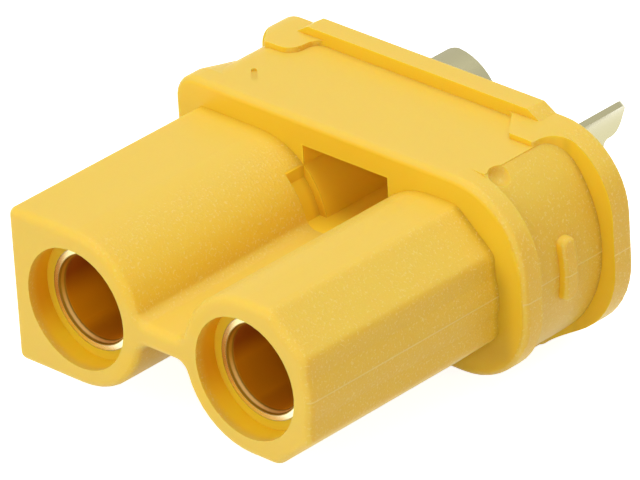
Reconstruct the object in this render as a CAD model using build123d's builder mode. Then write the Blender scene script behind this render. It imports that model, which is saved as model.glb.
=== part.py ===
from build123d import *
from math import atan, cos, degrees, radians, sin
import os

# Female half of a small two-pole battery connector: one moulded nylon housing and two socket contacts.
# The origin is midway between the contacts in the mating face, +X to the round-cornered keyed end,
# +Y from the mating face towards the solder cups, +Z up. All sizes are in millimetres.

os.makedirs("parts", exist_ok=True)

# Contact pattern
pitch = 5.0

# Barrels and the web that joins them
barrel_length = 5.93
barrel_radius = 1.87
square_side = 1.93
square_side_radius = 0.2
key_side = 1.8
key_chamfer_width = 1.03
key_chamfer_height = 0.87
key_edge_radius = 0.35
web_thickness = 0.56
web_fillet = 0.3
barrel_edge_radius = 0.2

# Relief groove round the end of the valley, and the pockets that continue the valley into the collar
relief_length = 0.58
relief_depth = 0.2
pocket_half_width = 1.25
pocket_depth = 2.2

# Collars and neck are centred a little above the contacts
body_rise = 0.1

# Front collar, whose square end slopes down into the grip recess
collar_half_width = 5.12
collar_half_height = 2.4
front_collar_thickness = 0.54
collar_round_radius = 2.0
square_corner_radius = 0.65
collar_edge_radius = 0.17
ramp_length = 0.93
ramp_drop = 0.2

# Neck, as high as the collar, with a square and a round grip end
neck_length = 2.31
panel_half_width = 3.63
neck_half_width = 4.8
neck_round_radius = 2.98
neck_corner_radius = 0.75

# Mould marks beside the front collar: a dimple at the round grip end and a slanting slot at the other
dimple_spot = (3.83, 0.31)
dimple_radius = 0.3
dimple_depth = 0.14
slot_spot = (-3.53, 0.4)
slot_length = 0.56
slot_width = 0.13
slot_depth = 0.06
slot_turn = 135

# Grip ribs on the ends of the neck
rib_height = 1.52
rib_width = 0.45
rib_stand = 0.2
rib_to_collar = 0.93
rib_corner_radius = 0.2
rib_edge_radius = 0.12

# Rear collar, with a raised rim and ears that reach forward over the panel
rear_half_width = 5.15
rear_half_height = 2.53
rear_collar_thickness = 0.59
rear_square_radius = 0.72
rear_upper_radius = 1.8
rear_lower_radius = 2.1
rear_edge_radius = 0.1
rim_stand = 0.2
rim_square_end = 3.7
rim_round_end = 2.8
rim_end_slope = 0.33
ear_length = 0.78
square_ear = (-4.3, -3.5)
square_ear_foot = (-4.85, -3.42)
square_ear_radius = 0.4
round_ear_inner = 2.95
round_ear_foot = 2.35
ear_fillet = 0.3
ear_side_fillet = 0.6
ear_corner_radius = 0.1

# Mouths of the sockets in the housing
mouth_radius = 1.43
mouth_depth = 0.58

# Socket contacts: a tube, a body that seats against a shoulder, and a half-open solder cup with a tongue
tube_radius = 1.2
socket_radius = 1.0
socket_depth = 6.0
lead_in_width = 0.06
lead_in_length = 0.16
tube_stand = 0.02
body_radius = 1.4
body_length = 2.7
cup_radius = 1.27
cup_wall = 0.14
cup_ring_length = 0.4
cup_sink = 0.3
half_length = 1.6
tongue_span = 45
tongue_length = 0.64
tongue_tip_radius = 0.38
cup_corner_radius = 0.2
square_end_cup = (2.87, 235, 130)
round_end_cup = (3.3, 48, 102)

# Places along the connector, measured from the mating face, and heights that follow
contact_x = pitch / 2
square_x = -contact_x - square_side
key_x = contact_x + key_side
neck_front = barrel_length + front_collar_thickness
rear_front = neck_front + neck_length
rear_face = rear_front + rear_collar_thickness
ear_front = rear_front - ear_length
relief_front = barrel_length - relief_length
tube_front = mouth_depth - tube_stand
shoulder = rear_face - body_length
rib_front = neck_front + rib_to_collar
half_front = rear_face + cup_ring_length
lip_front = rear_face + half_length
rim_half_height = rear_half_height + rim_stand
neck_round_centre = neck_half_width - neck_round_radius
dimple_surface = (neck_round_radius**2 - (dimple_spot[0] - neck_round_centre) ** 2) ** 0.5
dimple_height = dimple_surface + dimple_radius - dimple_depth
ramp_angle = degrees(atan(ramp_drop / ramp_length))
contact_spots = [(-contact_x, 0), (contact_x, 0)]


def section(y, z=0):
    """Sketch plane across the connector at y: x along +X, y along +Z. Rearward amounts are negative."""
    return Plane((0, y, z), x_dir=(1, 0, 0), z_dir=(0, -1, 0))


def wall_corners(contact):
    """The short edges through the cup wall behind the half-open length, the tongue's two corners first."""
    edges = contact.edges().filter_by(GeomType.LINE).filter_by_position(Axis.Y, lip_front, tongue_end)
    return edges.filter_by(lambda edge: edge.length < 2 * cup_wall).sort_by_distance(tip)


with BuildPart() as housing:
    # Rear collar at the full depth of its ears
    with BuildSketch(section(ear_front, body_rise)) as rear_outline:
        Rectangle(2 * rear_half_width, 2 * rear_half_height)
        fillet(rear_outline.vertices().group_by(Axis.X)[0], rear_square_radius)
        fillet(rear_outline.vertices().group_by(Axis.X)[-1].sort_by(Axis.Y)[-1], rear_upper_radius)
        fillet(rear_outline.vertices().group_by(Axis.X)[-1].sort_by(Axis.Y)[0], rear_lower_radius)
    extrude(amount=ear_front - rear_face)
    # The collar is thinner between the ears, beyond the square ear and beside the round-cornered end
    with BuildSketch(Plane.XY) as ear_gaps:
        Polygon(
            (square_ear[1], ear_front),
            (round_ear_inner, ear_front),
            (round_ear_foot, rear_front),
            (square_ear_foot[1], rear_front),
            align=None,
        )
        Polygon(
            (-2 * rear_half_width, ear_front),
            (square_ear[0], ear_front),
            (square_ear_foot[0], rear_front),
            (-2 * rear_half_width, rear_front),
            align=None,
        )
        fillet(ear_gaps.vertices().group_by(Axis.Y)[-1], ear_fillet)
        with Locations((panel_half_width, ear_front)):
            side_gap = Rectangle(rear_half_width, ear_length, align=(Align.MIN, Align.MIN))
        fillet(side_gap.vertices().group_by(Axis.Y)[-1], ear_side_fillet)
    extrude(amount=rim_half_height, both=True, mode=Mode.SUBTRACT)
    ear_corners = housing.edges().filter_by(Axis.Z).group_by(Axis.Y)[0].sort_by(Axis.X)
    fillet(ear_corners[1], square_ear_radius)
    ear_corners = housing.edges().filter_by(Axis.Z).group_by(Axis.Y)[0].sort_by(Axis.X)
    fillet(ear_corners[:1] + ear_corners[-2:], ear_corner_radius)
    # Raised rim above and below
    with BuildSketch(section(rear_front, body_rise)) as rim:
        with BuildLine():
            Polyline(
                (-rim_square_end - rim_end_slope, 0),
                (-rim_square_end - rim_end_slope, rear_half_height),
                (-rim_square_end, rim_half_height),
                (rim_round_end, rim_half_height),
                (rim_round_end + rim_end_slope, rear_half_height),
                (rim_round_end + rim_end_slope, 0),
            )
            mirror(about=Plane.XZ)
        make_face()
    extrude(amount=-rear_collar_thickness)
    # Softened rear edges of the collar and rim
    fillet(housing.faces().sort_by(Axis.Y)[-1].edges(), rear_edge_radius)
    # Neck: round grip end, then flat panels that run into the square grip end
    with BuildSketch(section(neck_front, body_rise)) as neck_outline:
        with Locations((neck_round_centre, 0)):
            Circle(neck_round_radius)
        with Locations((panel_half_width, 0)):
            Rectangle(
                neck_half_width, 2 * neck_round_radius, align=(Align.MIN, Align.CENTER), mode=Mode.INTERSECT
            )
            Rectangle(
                panel_half_width + neck_half_width, 2 * collar_half_height, align=(Align.MAX, Align.CENTER)
            )
        fillet(neck_outline.vertices().group_by(Axis.X)[0], neck_corner_radius)
    extrude(amount=-neck_length)
    # Grip ribs
    with BuildSketch(section(rib_front, body_rise)):
        with Locations((neck_round_centre, 0)):
            Circle(neck_round_radius + rib_stand)
            Rectangle(neck_half_width, rib_height, align=(Align.MIN, Align.CENTER), mode=Mode.INTERSECT)
        with Locations((-neck_half_width - rib_stand, 0)):
            Rectangle(neck_half_width, rib_height, align=(Align.MIN, Align.CENTER))
    extrude(amount=-rib_width)
    rib_edges = housing.edges().filter_by_position(Axis.Y, rib_front, rib_front + rib_width)
    fillet(rib_edges.filter_by(Axis.X), rib_corner_radius)
    rib_edges = housing.edges().filter_by_position(Axis.Y, rib_front, rib_front + rib_width)
    fillet(rib_edges.group_by(Axis.X)[0] + rib_edges.group_by(Axis.X)[-1], rib_edge_radius)
    # Front collar, and the slope from its square end down to the neck
    with BuildSketch(section(barrel_length, body_rise)) as front_outline:
        Rectangle(2 * collar_half_width, 2 * collar_half_height)
        fillet(front_outline.vertices().group_by(Axis.X)[0], square_corner_radius)
        fillet(front_outline.vertices().group_by(Axis.X)[-1], collar_round_radius)
    extrude(amount=-front_collar_thickness)
    with BuildSketch(section(neck_front, body_rise)) as ramp_outline:
        with Locations((-collar_half_width, 0)):
            Rectangle(collar_half_width, 2 * collar_half_height, align=(Align.MIN, Align.CENTER))
        fillet(ramp_outline.vertices().group_by(Axis.X)[0], square_corner_radius)
    extrude(amount=-ramp_length, taper=ramp_angle)
    fillet(housing.faces().sort_by(Axis.Y)[0].edges(), collar_edge_radius)
    # Barrels and web
    with BuildSketch(section(0)) as barrels:
        with Locations((square_x, 0)):
            Rectangle(square_side, 2 * barrel_radius, align=(Align.MIN, Align.CENTER))
        fillet(barrels.vertices().group_by(Axis.X)[0], square_side_radius)
        with BuildLine():
            Polyline(
                (contact_x, 0),
                (contact_x, barrel_radius),
                (key_x - key_chamfer_width, barrel_radius),
                (key_x, barrel_radius - key_chamfer_height),
                (key_x, 0),
            )
            mirror(about=Plane.XZ)
        make_face()
        key_corners = barrels.vertices().filter_by_position(Axis.X, key_x - key_chamfer_width, key_x)
        fillet(key_corners, key_edge_radius)
        with Locations(*contact_spots):
            Circle(barrel_radius)
        Rectangle(pitch, web_thickness)
        fillet(barrels.vertices().filter_by_position(Axis.X, -contact_x / 2, contact_x / 2), web_fillet)
    extrude(amount=-barrel_length)
    fillet(housing.faces().sort_by(Axis.Y)[0].edges(), barrel_edge_radius)
    # Pockets that continue the valley into the collar
    with BuildSketch(section(barrel_length)):
        Rectangle(2 * pocket_half_width, 2 * barrel_radius)
        with Locations(*contact_spots):
            Circle(barrel_radius, mode=Mode.SUBTRACT)
        Rectangle(2 * pocket_half_width, web_thickness, mode=Mode.SUBTRACT)
    extrude(amount=-pocket_depth, mode=Mode.SUBTRACT)
    # Relief groove at the end of the valley
    with BuildSketch(section(relief_front)):
        Rectangle(2 * pocket_half_width, 2 * barrel_radius)
        with Locations(*contact_spots):
            Circle(barrel_radius - relief_depth, mode=Mode.SUBTRACT)
        Rectangle(2 * pocket_half_width, web_thickness, mode=Mode.SUBTRACT)
    extrude(amount=-relief_length, mode=Mode.SUBTRACT)
    # Mould marks beside the front collar, above and below
    for side in (1, -1):
        with Locations((dimple_spot[0], neck_front + dimple_spot[1], body_rise + side * dimple_height)):
            Sphere(dimple_radius, mode=Mode.SUBTRACT)
        with BuildSketch(Plane.XY.offset(body_rise + side * collar_half_height)):
            with Locations((slot_spot[0], neck_front + slot_spot[1])):
                SlotOverall(slot_length, slot_width, rotation=slot_turn)
        extrude(amount=-side * slot_depth, mode=Mode.SUBTRACT)
    # Socket mouths, tube bores and the wider bores that hold the contact bodies
    for radius, start, end in (
        (mouth_radius, 0, mouth_depth),
        (tube_radius, 0, rear_face),
        (body_radius, shoulder, rear_face),
    ):
        with BuildSketch(section(start)):
            with Locations(*contact_spots):
                Circle(radius)
        extrude(amount=start - end, mode=Mode.SUBTRACT)

housing.part.label = "housing"
export_step(housing.part, "parts/housing.step")

for name, axis_x, (cup_length, cup_turn, lip_span) in (
    ("socket_contact_left", -contact_x, square_end_cup),
    ("socket_contact_right", contact_x, round_end_cup),
):
    turn = radians(cup_turn)
    open_side = (cos(turn), 0, sin(turn))
    cup_end = rear_face + cup_length
    tongue_end = cup_end + tongue_length
    with BuildPart() as contact:
        # Turned form, drawn towards the open side: socket bore in front, solder bore behind
        with BuildSketch(Plane((axis_x, 0, 0), x_dir=open_side, z_dir=(-sin(turn), 0, cos(turn)))):
            with BuildLine():
                Polyline(
                    (0, tube_front + socket_depth),
                    (socket_radius, tube_front + socket_depth),
                    (socket_radius, tube_front + lead_in_length),
                    (socket_radius + lead_in_width, tube_front),
                    (tube_radius, tube_front),
                    (tube_radius, shoulder),
                    (body_radius, shoulder),
                    (body_radius, rear_face),
                    (cup_radius, rear_face),
                    (cup_radius, tongue_end),
                    (cup_radius - cup_wall, tongue_end),
                    (cup_radius - cup_wall, rear_face - cup_sink),
                    (0, rear_face - cup_sink),
                    close=True,
                )
            make_face()
        revolve(axis=Axis((axis_x, 0, 0), (0, 1, 0)))
        # Less and less of the round is left: a half-open cup, a narrower lip and then a tongue
        for start, span in ((half_front, 180), (lip_front, lip_span), (cup_end, tongue_span)):
            with BuildSketch(Plane((axis_x, start, 0), x_dir=open_side, z_dir=(0, 1, 0))):
                Rectangle(
                    4 * cup_radius, 2 * cup_radius, rotation=90 - span, align=(Align.CENTER, Align.MIN)
                )
            extrude(amount=tongue_end - start, mode=Mode.SUBTRACT)
        # Rounded corners of the lip and tongue
        tip = (axis_x - cup_radius * sin(turn), tongue_end, cup_radius * cos(turn))
        fillet(wall_corners(contact)[2:], cup_corner_radius)
        fillet(wall_corners(contact)[:2], tongue_tip_radius)
    contact.part.label = name
    export_step(contact.part, f"parts/{name}.step")
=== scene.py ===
from math import cos, radians, sin

import bpy
from mathutils import Matrix, Vector


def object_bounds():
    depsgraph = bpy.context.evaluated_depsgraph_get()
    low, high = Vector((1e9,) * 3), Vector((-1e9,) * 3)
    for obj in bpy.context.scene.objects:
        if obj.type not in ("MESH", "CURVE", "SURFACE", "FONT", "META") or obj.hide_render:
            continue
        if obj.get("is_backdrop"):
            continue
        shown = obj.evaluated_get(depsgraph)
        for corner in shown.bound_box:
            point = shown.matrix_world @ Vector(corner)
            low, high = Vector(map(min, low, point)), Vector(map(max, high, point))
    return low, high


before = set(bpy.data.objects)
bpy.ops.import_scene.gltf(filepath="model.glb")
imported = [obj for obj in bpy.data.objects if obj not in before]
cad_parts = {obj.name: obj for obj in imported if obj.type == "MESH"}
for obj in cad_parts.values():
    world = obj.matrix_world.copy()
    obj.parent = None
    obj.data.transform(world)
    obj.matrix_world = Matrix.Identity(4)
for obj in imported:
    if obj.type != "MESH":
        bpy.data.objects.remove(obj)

size_low, size_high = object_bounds()
cad_box = [list(size_low), list(size_high)]

# Camera. A long lens that looks down on the connector from off its keyed end. The roll and the
# point that it looks at are the photo's own.
azimuth, elevation, roll = radians(44.88), radians(28.34), radians(-3.69)
standoff = 0.17857
aim = Vector((0.001849, 0.003171, 0.001747))
back = Vector((sin(azimuth) * cos(elevation), -cos(azimuth) * cos(elevation), sin(elevation)))
level = Vector((cos(azimuth), sin(azimuth), 0))
steep = back.cross(level)
right = cos(roll) * level + sin(roll) * steep
up = cos(roll) * steep - sin(roll) * level
lens = bpy.data.cameras.new("studio_lens")
lens.lens = 473.26
lens.sensor_width = 36
lens.clip_start = 0.01
lens.clip_end = 5
camera = bpy.data.objects.new("studio_camera", lens)
turn = Matrix((right, up, back)).transposed().to_4x4()
camera.matrix_world = Matrix.Translation(aim + standoff * back) @ turn
bpy.context.scene.collection.objects.link(camera)
bpy.context.scene.camera = camera


# Floor and light. A pale table under the part and soft lamps as in a product booth. The camera and
# reflections see the table and the room as white, and the table keeps the part's soft shadow.
def add_lamp(name, place, size, power):
    """A round soft lamp that shines on the middle of the part."""
    lamp = bpy.data.lights.new(name, "AREA")
    lamp.shape = "DISK"
    lamp.size = size
    lamp.energy = power
    holder = bpy.data.objects.new(name, lamp)
    holder.location = place
    middle = (Vector(cad_box[0]) + Vector(cad_box[1])) / 2
    holder.rotation_euler = (middle - Vector(place)).to_track_quat("-Z", "Y").to_euler()
    bpy.context.scene.collection.objects.link(holder)


def set_inputs(node, settings):
    """Set several inputs of a node by their names."""
    for name, value in settings.items():
        node.inputs[name].default_value = value


def add_material(name):
    """A node material with a Principled shader wired to its output."""
    material = bpy.data.materials.new(name)
    material.use_nodes = True
    material.node_tree.nodes.clear()
    shader = material.node_tree.nodes.new("ShaderNodeBsdfPrincipled")
    output = material.node_tree.nodes.new("ShaderNodeOutputMaterial")
    material.node_tree.links.new(shader.outputs["BSDF"], output.inputs["Surface"])
    return material, shader


def add_math(tree, operation, *values, clamp=False):
    """One math node. Each value is a number or the socket that feeds it."""
    node = tree.nodes.new("ShaderNodeMath")
    node.operation = operation
    node.use_clamp = clamp
    for slot, value in zip(node.inputs, values):
        if isinstance(value, (int, float)):
            slot.default_value = value
        else:
            tree.links.new(value, slot)
    return node.outputs[0]


def add_seen_directly(tree):
    """1 for rays from the camera and for reflected or refracted ones, and 0 for scattered light."""
    ray = tree.nodes.new("ShaderNodeLightPath")
    mirrored = add_math(tree, "ADD", ray.outputs["Is Glossy Ray"], ray.outputs["Is Transmission Ray"])
    return add_math(tree, "ADD", ray.outputs["Is Camera Ray"], mirrored, clamp=True)


add_lamp("top_softbox", place=(0.02, 0.03, 0.30), size=0.30, power=0.57)
add_lamp("front_softbox", place=(-0.10, -0.26, 0.12), size=0.20, power=0.23)
add_lamp("side_softbox", place=(0.17, -0.22, 0.09), size=0.20, power=0.13)

white = (1, 1, 1, 1)
world = bpy.data.worlds.new("booth")
world.use_nodes = True
bpy.context.scene.world = world
tree = world.node_tree
tree.nodes.clear()
booth_light = tree.nodes.new("ShaderNodeBackground")
set_inputs(booth_light, {"Color": white, "Strength": 0.46})
booth_wall = tree.nodes.new("ShaderNodeBackground")
set_inputs(booth_wall, {"Color": white, "Strength": 1.0})
blend = tree.nodes.new("ShaderNodeMixShader")
world_output = tree.nodes.new("ShaderNodeOutputWorld")
tree.links.new(add_seen_directly(tree), blend.inputs["Fac"])
tree.links.new(booth_light.outputs["Background"], blend.inputs[1])
tree.links.new(booth_wall.outputs["Background"], blend.inputs[2])
tree.links.new(blend.outputs["Shader"], world_output.inputs["Surface"])
bpy.context.scene.view_settings.view_transform = "Standard"

table_size = 3.0
table_grey = (0.80, 0.80, 0.80, 1)
table_glow = 0.85
bpy.ops.mesh.primitive_plane_add(size=table_size, location=(0, 0, cad_box[0][2]))
table = bpy.context.object
table.name = "table"
table_white, table_shader = add_material("table_white")
set_inputs(table_shader, {"Base Color": table_grey, "Roughness": 0.7, "Emission Color": white})
tree = table_white.node_tree
glow = add_math(tree, "MULTIPLY", add_seen_directly(tree), table_glow)
tree.links.new(glow, table_shader.inputs["Emission Strength"])
table.data.materials.append(table_white)
table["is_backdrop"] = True


# Housing. One injection-moulded body of yellow nylon, into which the contacts are pushed from behind.
# The level faces and the front are smooth and the rounds are spark-eroded to a fine grain, with pale
# glints painted on it. Recesses, creases and the collar faces carry painted shade and bounced light in
# deeper orange and yellow, and the mould's halves met in a hairline along the middle of each side,
# painted paler as a highlight.
def add_step(tree, value, span):
    """A smooth rise from 0 to 1 over the span, or a fall if the span starts with its larger end."""
    start, end = span
    low, high = (0, 1) if start < end else (1, 0)
    node = tree.nodes.new("ShaderNodeMapRange")
    node.interpolation_type = "SMOOTHSTEP"
    set_inputs(node, {"From Min": min(span), "From Max": max(span), "To Min": low, "To Max": high})
    tree.links.new(value, node.inputs["Value"])
    return node.outputs["Result"]


def add_product(tree, first, *others):
    """Values multiplied with each other."""
    for other in others:
        first = add_math(tree, "MULTIPLY", first, other)
    return first


def add_largest(tree, first, *others):
    """The largest of several values."""
    for other in others:
        first = add_math(tree, "MAXIMUM", first, other)
    return first


def add_mask(tree, *steps):
    """The product of several steps. Each is a value and the span of its rise or fall."""
    return add_product(tree, *(add_step(tree, value, span) for value, span in steps))


def add_distance(tree, value, place=0.0):
    """How far a value is from a place, on either side."""
    return add_math(tree, "ABSOLUTE", add_math(tree, "SUBTRACT", value, place))


def add_mix(tree, factor, first, second):
    """A colour between two. Each is a colour or the socket that feeds it."""
    node = tree.nodes.new("ShaderNodeMix")
    node.data_type = "RGBA"
    first_slot, second_slot, mixed = node.inputs[6], node.inputs[7], node.outputs[2]
    tree.links.new(factor, node.inputs["Factor"])
    for slot, value in ((first_slot, first), (second_slot, second)):
        if isinstance(value, tuple):
            slot.default_value = value
        else:
            tree.links.new(value, slot)
    return mixed


# Node group shared by both materials: how far a point is from the nearer socket's axis
axis_group = bpy.data.node_groups.new("socket_axis_distance", "ShaderNodeTree")
axis_group.interface.new_socket("Place", in_out="INPUT", socket_type="NodeSocketVector")
axis_group.interface.new_socket("Axis Offset", in_out="INPUT", socket_type="NodeSocketFloat")
axis_group.interface.new_socket("Distance", in_out="OUTPUT", socket_type="NodeSocketFloat")
group_in = axis_group.nodes.new("NodeGroupInput")
group_out = axis_group.nodes.new("NodeGroupOutput")
spot = axis_group.nodes.new("ShaderNodeSeparateXYZ")
axis_group.links.new(group_in.outputs["Place"], spot.inputs[0])
outwards = add_distance(axis_group, spot.outputs["X"])
across = add_math(axis_group, "SUBTRACT", outwards, group_in.outputs["Axis Offset"])
squares = add_math(
    axis_group, "ADD",
    add_product(axis_group, across, across),
    add_product(axis_group, spot.outputs["Z"], spot.outputs["Z"]),
)
axis_group.links.new(add_math(axis_group, "SQRT", squares), group_out.inputs["Distance"])


def add_axis_distance(tree, place, offset):
    """The shared group, placed in a material."""
    node = tree.nodes.new("ShaderNodeGroup")
    node.node_tree = axis_group
    node.inputs["Axis Offset"].default_value = offset
    tree.links.new(place, node.inputs["Place"])
    return node.outputs["Distance"]


def add_places(tree):
    """Texture coordinates, and the X, Y and Z of the place in the part's frame."""
    coordinates = tree.nodes.new("ShaderNodeTexCoord")
    spot = tree.nodes.new("ShaderNodeSeparateXYZ")
    tree.links.new(coordinates.outputs["Object"], spot.inputs[0])
    return coordinates, spot.outputs["X"], spot.outputs["Y"], spot.outputs["Z"]


socket_offset = 0.0025
yellow = (0.800, 0.545, 0.074, 1)
side_shade_yellow = (0.76, 0.47, 0.045, 1)
shade_and_bounce_yellow = (0.86, 0.56, 0.028, 1)
mouth_shaded_orange = (0.78, 0.36, 0.003, 1)
mouth_lit_yellow = (0.95, 0.63, 0.020, 1)
crease_shade_ochre = (0.50, 0.29, 0.020, 1)
pocket_lit_orange = (0.98, 0.64, 0.035, 1)
highlight_yellow = (0.88, 0.68, 0.22, 1)
nylon, nylon_shader = add_material("yellow_nylon")
tree = nylon.node_tree
coordinates, sideways, along, height = add_places(tree)
facing = tree.nodes.new("ShaderNodeSeparateXYZ")
tree.links.new(coordinates.outputs["Normal"], facing.inputs[0])
from_middle = add_distance(tree, sideways)
from_level = add_distance(tree, height)
side_turn = add_distance(tree, facing.outputs["X"])
up_turn = add_distance(tree, facing.outputs["Z"])

# Forward-facing faces of the two collars, painted a deeper yellow as shade and bounced light. The
# panel's front face, which peeps out of the front collar's round corner, keeps the general yellow.
front_turn = (-0.78, -0.96)
collar_start = (0.00585, 0.00592)
panel_front = 0.00647
off_panel = (0.0001, 0.0002)
collar_face = add_mask(
    tree,
    (facing.outputs["Y"], front_turn),
    (along, collar_start),
    (add_distance(tree, along, panel_front), off_panel),
)
# Rounds that carry the panel's end walls out on to the rear collar, painted a deeper yellow as shade
wall_inner, wall_outer = (0.00360, 0.00362), (0.00435, 0.00425)
wall_start, wall_end = (0.0080, 0.0084), (0.00882, 0.00880)
upright_turn = (0.4, 0.2)
side_round = add_mask(
    tree,
    (from_middle, wall_inner), (from_middle, wall_outer),
    (along, wall_start), (along, wall_end),
    (up_turn, upright_turn),
)
step_face = add_largest(tree, collar_face, side_round)
# The last stretch of the barrels, where the collar's colour shines back on them
shine_start, barrel_end = (0.00555, 0.00595), (0.00596, 0.00594)
near_collar = add_mask(tree, (along, shine_start), (along, barrel_end))
# Painted shade in ochre: the creases where the barrels and the neck run into the collars, dimmed by
# what stands over them, and the strip of the front collar beside each barrel, shaded by the barrel
barrel_crease_start = (0.00572, 0.00592)
neck_crease_start, neck_end = (0.00864, 0.00878), (0.00880, 0.00879)
outer_turn = (0.20, 0.60)
strip_side, strip_height, strip_end = (0.00485, 0.00440), (0.0015, 0.0007), (0.00600, 0.00596)
strip_level = -0.0006
barrel_crease = add_mask(tree, (along, barrel_crease_start), (along, barrel_end))
neck_crease = add_mask(tree, (along, neck_crease_start), (along, neck_end))
outer_side = add_step(tree, facing.outputs["X"], outer_turn)
creases = add_product(tree, add_math(tree, "ADD", barrel_crease, neck_crease), outer_side)
strip = add_mask(
    tree,
    (from_middle, strip_side),
    (add_distance(tree, height, strip_level), strip_height),
    (along, strip_end),
)
crease = add_largest(tree, creases, add_product(tree, strip, step_face))
# Pockets and relief grooves between the barrels, painted a brighter orange as light bounced into them
pocket_side, pocket_height = (0.00130, 0.00126), (0.00192, 0.00186)
pocket_start, pocket_end = (0.00533, 0.00538), (0.00900, 0.00890)
in_pocket = add_mask(
    tree,
    (from_middle, pocket_side), (from_level, pocket_height),
    (along, pocket_start), (along, pocket_end),
)
# Socket mouths, painted a deeper yellow as shade, and their side walls, painted orange in shade at the
# top and yellow where light falls lower down
mouth_edge, mouth_start = (0.00147, 0.00143), (0.00004, 0.00030)
wall_turn = (-0.9, -0.5)
from_axis = add_axis_distance(tree, coordinates.outputs["Object"], socket_offset)
in_mouth = add_mask(tree, (from_axis, mouth_edge), (along, mouth_start))
mouth_wall = add_product(tree, in_mouth, add_step(tree, facing.outputs["Y"], wall_turn))
# Rounds of the barrels above and below the web, which shine on each other
valley_side, valley_height = (0.00190, 0.00100), (0.00040, 0.00075)
valley_end = (0.00592, 0.00588)
in_valley = add_mask(tree, (from_middle, valley_side), (from_level, valley_height), (along, valley_end))
# Hairline where the mould's halves met, painted paler as a highlight along the line
parting_level = 0.00001
line_edge, off_mouth = (0.000022, 0.000008), (0.00144, 0.00150)
line_turn = (0.4, 0.6)
hairline = add_mask(
    tree,
    (add_distance(tree, height, parting_level), line_edge),
    (side_turn, line_turn),
    (from_axis, off_mouth),
)
# Spark-eroded grain on the rounds, and almost none on the level and front faces. Pale flecks are
# painted on the grain as glints.
round_turn = (0.08, 0.45)
least_grain = 0.10
glint_span = (0.56, 0.68)
grain = tree.nodes.new("ShaderNodeTexNoise")
set_inputs(grain, {"Scale": 17000, "Detail": 2, "Roughness": 0.6})
tree.links.new(coordinates.outputs["Object"], grain.inputs["Vector"])
rounded = add_largest(tree, add_step(tree, side_turn, round_turn), least_grain)
recessed = add_largest(tree, in_mouth, in_pocket, side_round)
rounded = add_product(tree, rounded, add_math(tree, "SUBTRACT", 1.0, recessed))
painted_glint = add_product(tree, add_step(tree, grain.outputs["Fac"], glint_span), rounded)

# The tints, laid one over the other. Faces turned towards +X get a darker, more orange painted shade.
flank_turn = (0.75, 0.97)
mouth_shade = (-0.0003, -0.0012)
shine_strength, valley_strength, crease_strength = 0.7, 0.4, 0.45
line_strength, glint_strength = 0.65, 0.5
# Painted shade and bounced light in a deeper yellow: the barrels' ends, the valley between them and the
# collar faces
shine = add_largest(
    tree,
    add_product(tree, near_collar, shine_strength),
    add_product(tree, in_valley, valley_strength),
    step_face,
)
wall_tint = add_mix(tree, add_step(tree, height, mouth_shade), mouth_shaded_orange, mouth_lit_yellow)
tint = add_mix(tree, add_step(tree, facing.outputs["X"], flank_turn), yellow, side_shade_yellow)
for mask, strength, colour in (
    (shine, 1.0, shade_and_bounce_yellow),
    (in_pocket, 1.0, pocket_lit_orange),
    (in_mouth, 1.0, shade_and_bounce_yellow),
    (mouth_wall, 1.0, wall_tint),
    (crease, crease_strength, crease_shade_ochre),
    (hairline, line_strength, highlight_yellow),
    (painted_glint, glint_strength, highlight_yellow),
):
    tint = add_mix(tree, add_product(tree, mask, strength), tint, colour)
tree.links.new(tint, nylon_shader.inputs["Base Color"])

line_relief = 0.6
relief = add_math(
    tree, "ADD",
    add_product(tree, grain.outputs["Fac"], rounded),
    add_product(tree, hairline, line_relief),
)
bump = tree.nodes.new("ShaderNodeBump")
set_inputs(bump, {"Strength": 0.6, "Distance": 0.00003})
tree.links.new(relief, bump.inputs["Height"])
tree.links.new(bump.outputs["Normal"], nylon_shader.inputs["Normal"])
set_inputs(nylon_shader, {
    "Roughness": 0.42,
    "Specular IOR Level": 0.25,
    "Subsurface Weight": 0.5,
    "Subsurface Radius": (1.0, 0.5, 0.08),
    "Subsurface Scale": 0.0004,
})
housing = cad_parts["housing"]
housing.data.materials.clear()
housing.data.materials.append(nylon)

# Socket contacts. Turned brass, plated a pale gold: a tube for the pin at the front, and behind the
# housing a half-open cup for the wire. Each is held by its press fit. The rim carries a painted
# highlight, and the plating is thin in the bore, which looks a deep copper with painted shade.
champagne = (0.45, 0.42, 0.25, 1)
edge_highlight_gold = (0.80, 0.68, 0.34, 1)
edge_highlight_white = (0.95, 0.84, 0.55, 1)
ring_brown = (0.36, 0.22, 0.02, 1)
band_gold = (0.62, 0.37, 0.04, 1)
band_lit_white = (0.98, 0.74, 0.28, 1)
copper_gold = (1.00, 0.42, 0.001, 1)
shade_copper = (0.38, 0.09, 0.001, 1)
plating, plating_shader = add_material("plated_brass")
tree = plating.node_tree
coordinates, sideways, along, height = add_places(tree)
from_axis = add_axis_distance(tree, coordinates.outputs["Object"], socket_offset)
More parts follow.
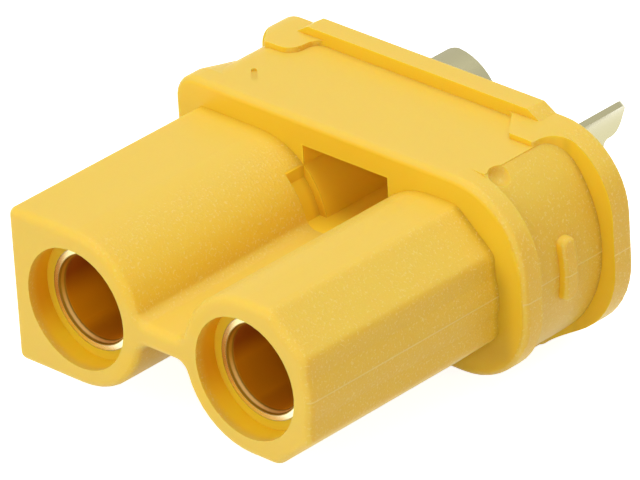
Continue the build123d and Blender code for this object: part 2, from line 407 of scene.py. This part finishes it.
# The rim: a painted highlight around its face, a dark brown ring inside it and a gold band on the
# lead-in. The highlight and the band are painted lighter on their lower part, where light falls.
tube_end, rim_end = (0.0080, 0.0075), (0.00058, 0.00057)
line_outer, line_inner, bore_edge = (0.00120, 0.00117), (0.00107, 0.00109), (0.00108, 0.00106)
band_start, band_end = (0.00059, 0.00063), (0.00070, 0.00066)
lit_low_span = (0.0001, -0.0008)
in_tube = add_step(tree, along, tube_end)
edge_highlight = add_product(
    tree, add_mask(tree, (from_axis, line_outer), (from_axis, line_inner), (along, rim_end)), in_tube
)
on_band = add_mask(tree, (along, band_start), (along, band_end))
lit_low_part = add_step(tree, height, lit_low_span)
outer_tint = add_mix(tree, edge_highlight, champagne, add_mix(tree, lit_low_part, edge_highlight_gold, edge_highlight_white))
band_tint = add_mix(tree, on_band, ring_brown, add_mix(tree, lit_low_part, band_gold, band_lit_white))
# The bore behind the lead-in, with painted shade that makes it darker at its top and bottom, and a
# little in the right contact
lead_in_end = (0.00070, 0.00073)
top_dark, bottom_dark, right_dark = (-0.0006, 0.0003), (-0.0008, -0.0010), (-0.0001, 0.0001)
bottom_strength, right_strength = 0.6, 0.35
in_bore = add_product(tree, add_step(tree, from_axis, bore_edge), in_tube)
behind_band = add_step(tree, along, lead_in_end)
bore_shade = add_largest(
    tree,
    add_product(tree, add_step(tree, height, bottom_dark), bottom_strength),
    add_product(tree, add_step(tree, sideways, right_dark), right_strength),
    add_step(tree, height, top_dark),
)
bore_tint = add_mix(tree, behind_band, band_tint, add_mix(tree, bore_shade, copper_gold, shade_copper))
tree.links.new(add_mix(tree, in_bore, outer_tint, bore_tint), plating_shader.inputs["Base Color"])
# The outside is satin and all metal, and the bore is rougher and its depth mostly plain colour
satin_roughness, added_in_bore, depth_dullness = 0.25, 0.22, 0.75
roughness = add_math(tree, "ADD", satin_roughness, add_product(tree, in_bore, added_in_bore))
tree.links.new(roughness, plating_shader.inputs["Roughness"])
dullness = add_product(tree, in_bore, behind_band, depth_dullness)
tree.links.new(add_math(tree, "SUBTRACT", 1.0, dullness), plating_shader.inputs["Metallic"])
for side in ("left", "right"):
    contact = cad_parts[f"socket_contact_{side}"]
    contact.data.materials.clear()
    contact.data.materials.append(plating)

size_low, size_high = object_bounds()
